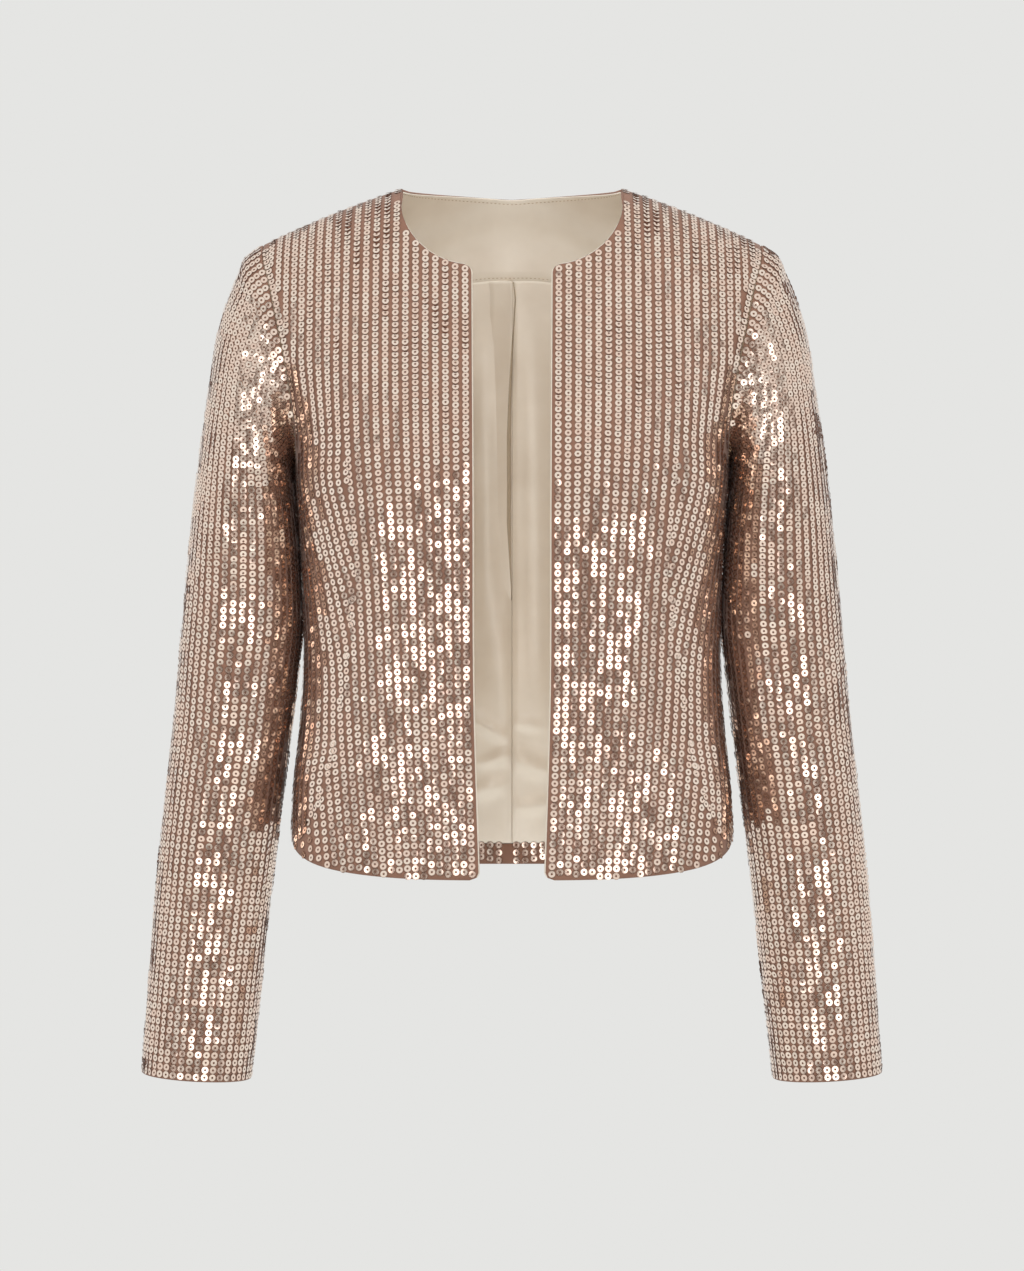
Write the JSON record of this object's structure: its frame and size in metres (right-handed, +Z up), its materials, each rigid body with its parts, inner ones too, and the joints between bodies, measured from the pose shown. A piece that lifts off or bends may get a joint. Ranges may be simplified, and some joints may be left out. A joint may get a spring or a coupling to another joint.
{
  "type": "sequin cardigan jacket",
  "caption": "Cropped collarless cardigan jacket of sequin cloth, open down its front, with long sleeves and a satin lining, filled out with no wearer.",
  "frame": {"origin": "midway between the two shoulder seams, at the height of their neck ends, where the wearer's shoulders carry the jacket", "axes": "+Z up towards the shoulders, -Y out of the open front, +X to the right as seen from the front"},
  "size_m": [0.5514, 0.2097, 0.6659],
  "materials": {
    "sequin_cloth": "woven cloth covered with round rose-beige sequins",
    "satin": "soft satin"
  },
  "bodies": {
    "root": {"front_left": "sequin_cloth", "front_right": "sequin_cloth", "back": "sequin_cloth", "sleeve_left": "sequin_cloth", "sleeve_right": "sequin_cloth", "back_hem_turn_up": "sequin_cloth", "front_facing_left": "satin", "front_facing_right": "satin", "back_neck_facing": "satin", "back_lining_left": "satin", "back_lining_right": "satin"}
  },
  "joints": []
}
